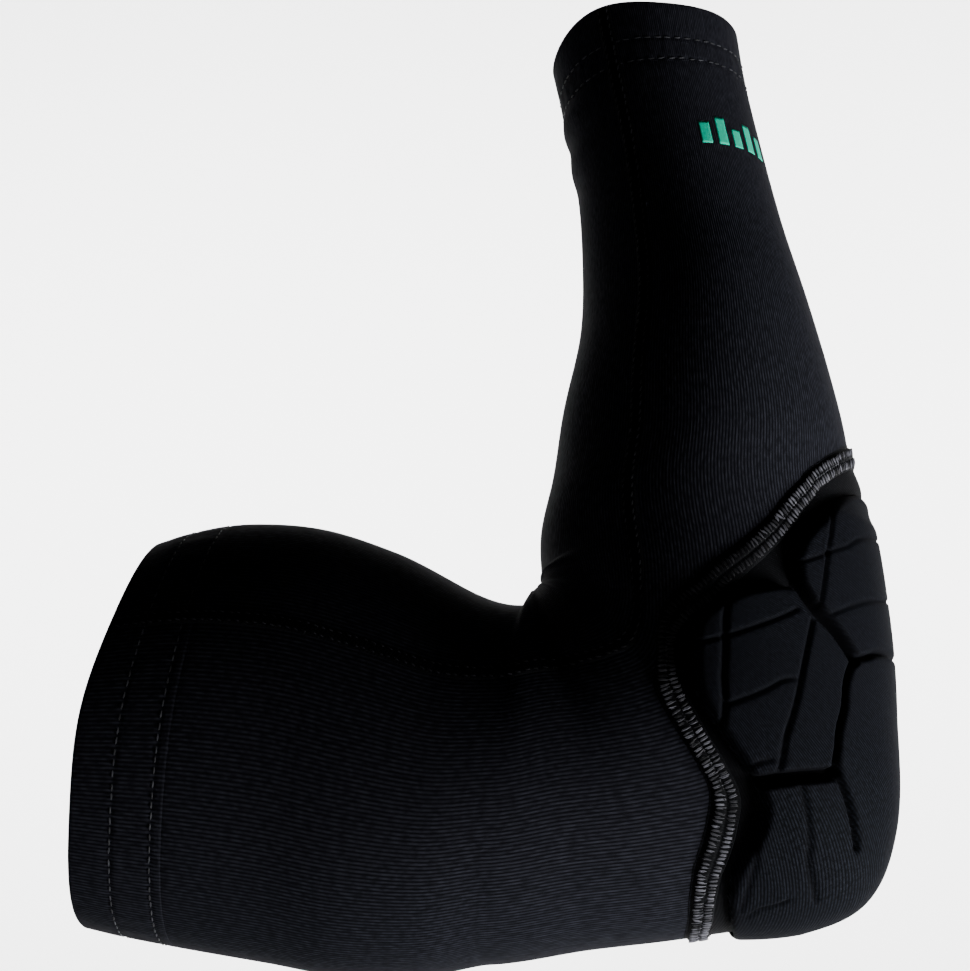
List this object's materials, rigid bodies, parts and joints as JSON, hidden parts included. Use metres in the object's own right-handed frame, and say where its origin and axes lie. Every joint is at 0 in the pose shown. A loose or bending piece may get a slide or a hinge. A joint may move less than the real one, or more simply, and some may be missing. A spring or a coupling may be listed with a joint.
{
  "type": "padded arm sleeve",
  "caption": "Knitted compression sleeve for a bent arm, hemmed at wrist and upper arm, with a seamed elbow panel that carries a grooved foam pad.",
  "frame": {"origin": "the middle of the elbow inside the sleeve, where it sits on the arm", "axes": "the forearm points up, +Z, leaning 6.7 degrees toward -X; the upper arm points to -X and rises 7 degrees; the elbow side faces +X; the arm bends in the plane y = 0 and -Y is the side with the long seam"},
  "size_m": [0.2311, 0.1064, 0.2828],
  "materials": {
    "knit": "near-black polyester elastane knit with fine lengthwise ribs, matt with a faint sheen",
    "hem_knit": "the same knit turned in and stitched double",
    "panel_knit": "near-black twill-faced stretch knit, matt",
    "pad_face": "charcoal twill-faced knit moulded over closed-cell foam, matt",
    "seam_thread": "dark grey polyester seam thread with a slight gloss"
  },
  "bodies": {
    "root": {"sleeve_body": "knit", "elbow_panel": "panel_knit", "elbow_pad": "pad_face", "panel_seam": "seam_thread", "arm_seam": "seam_thread", "wrist_hem": "hem_knit", "upper_arm_hem": "hem_knit"}
  },
  "joints": []
}
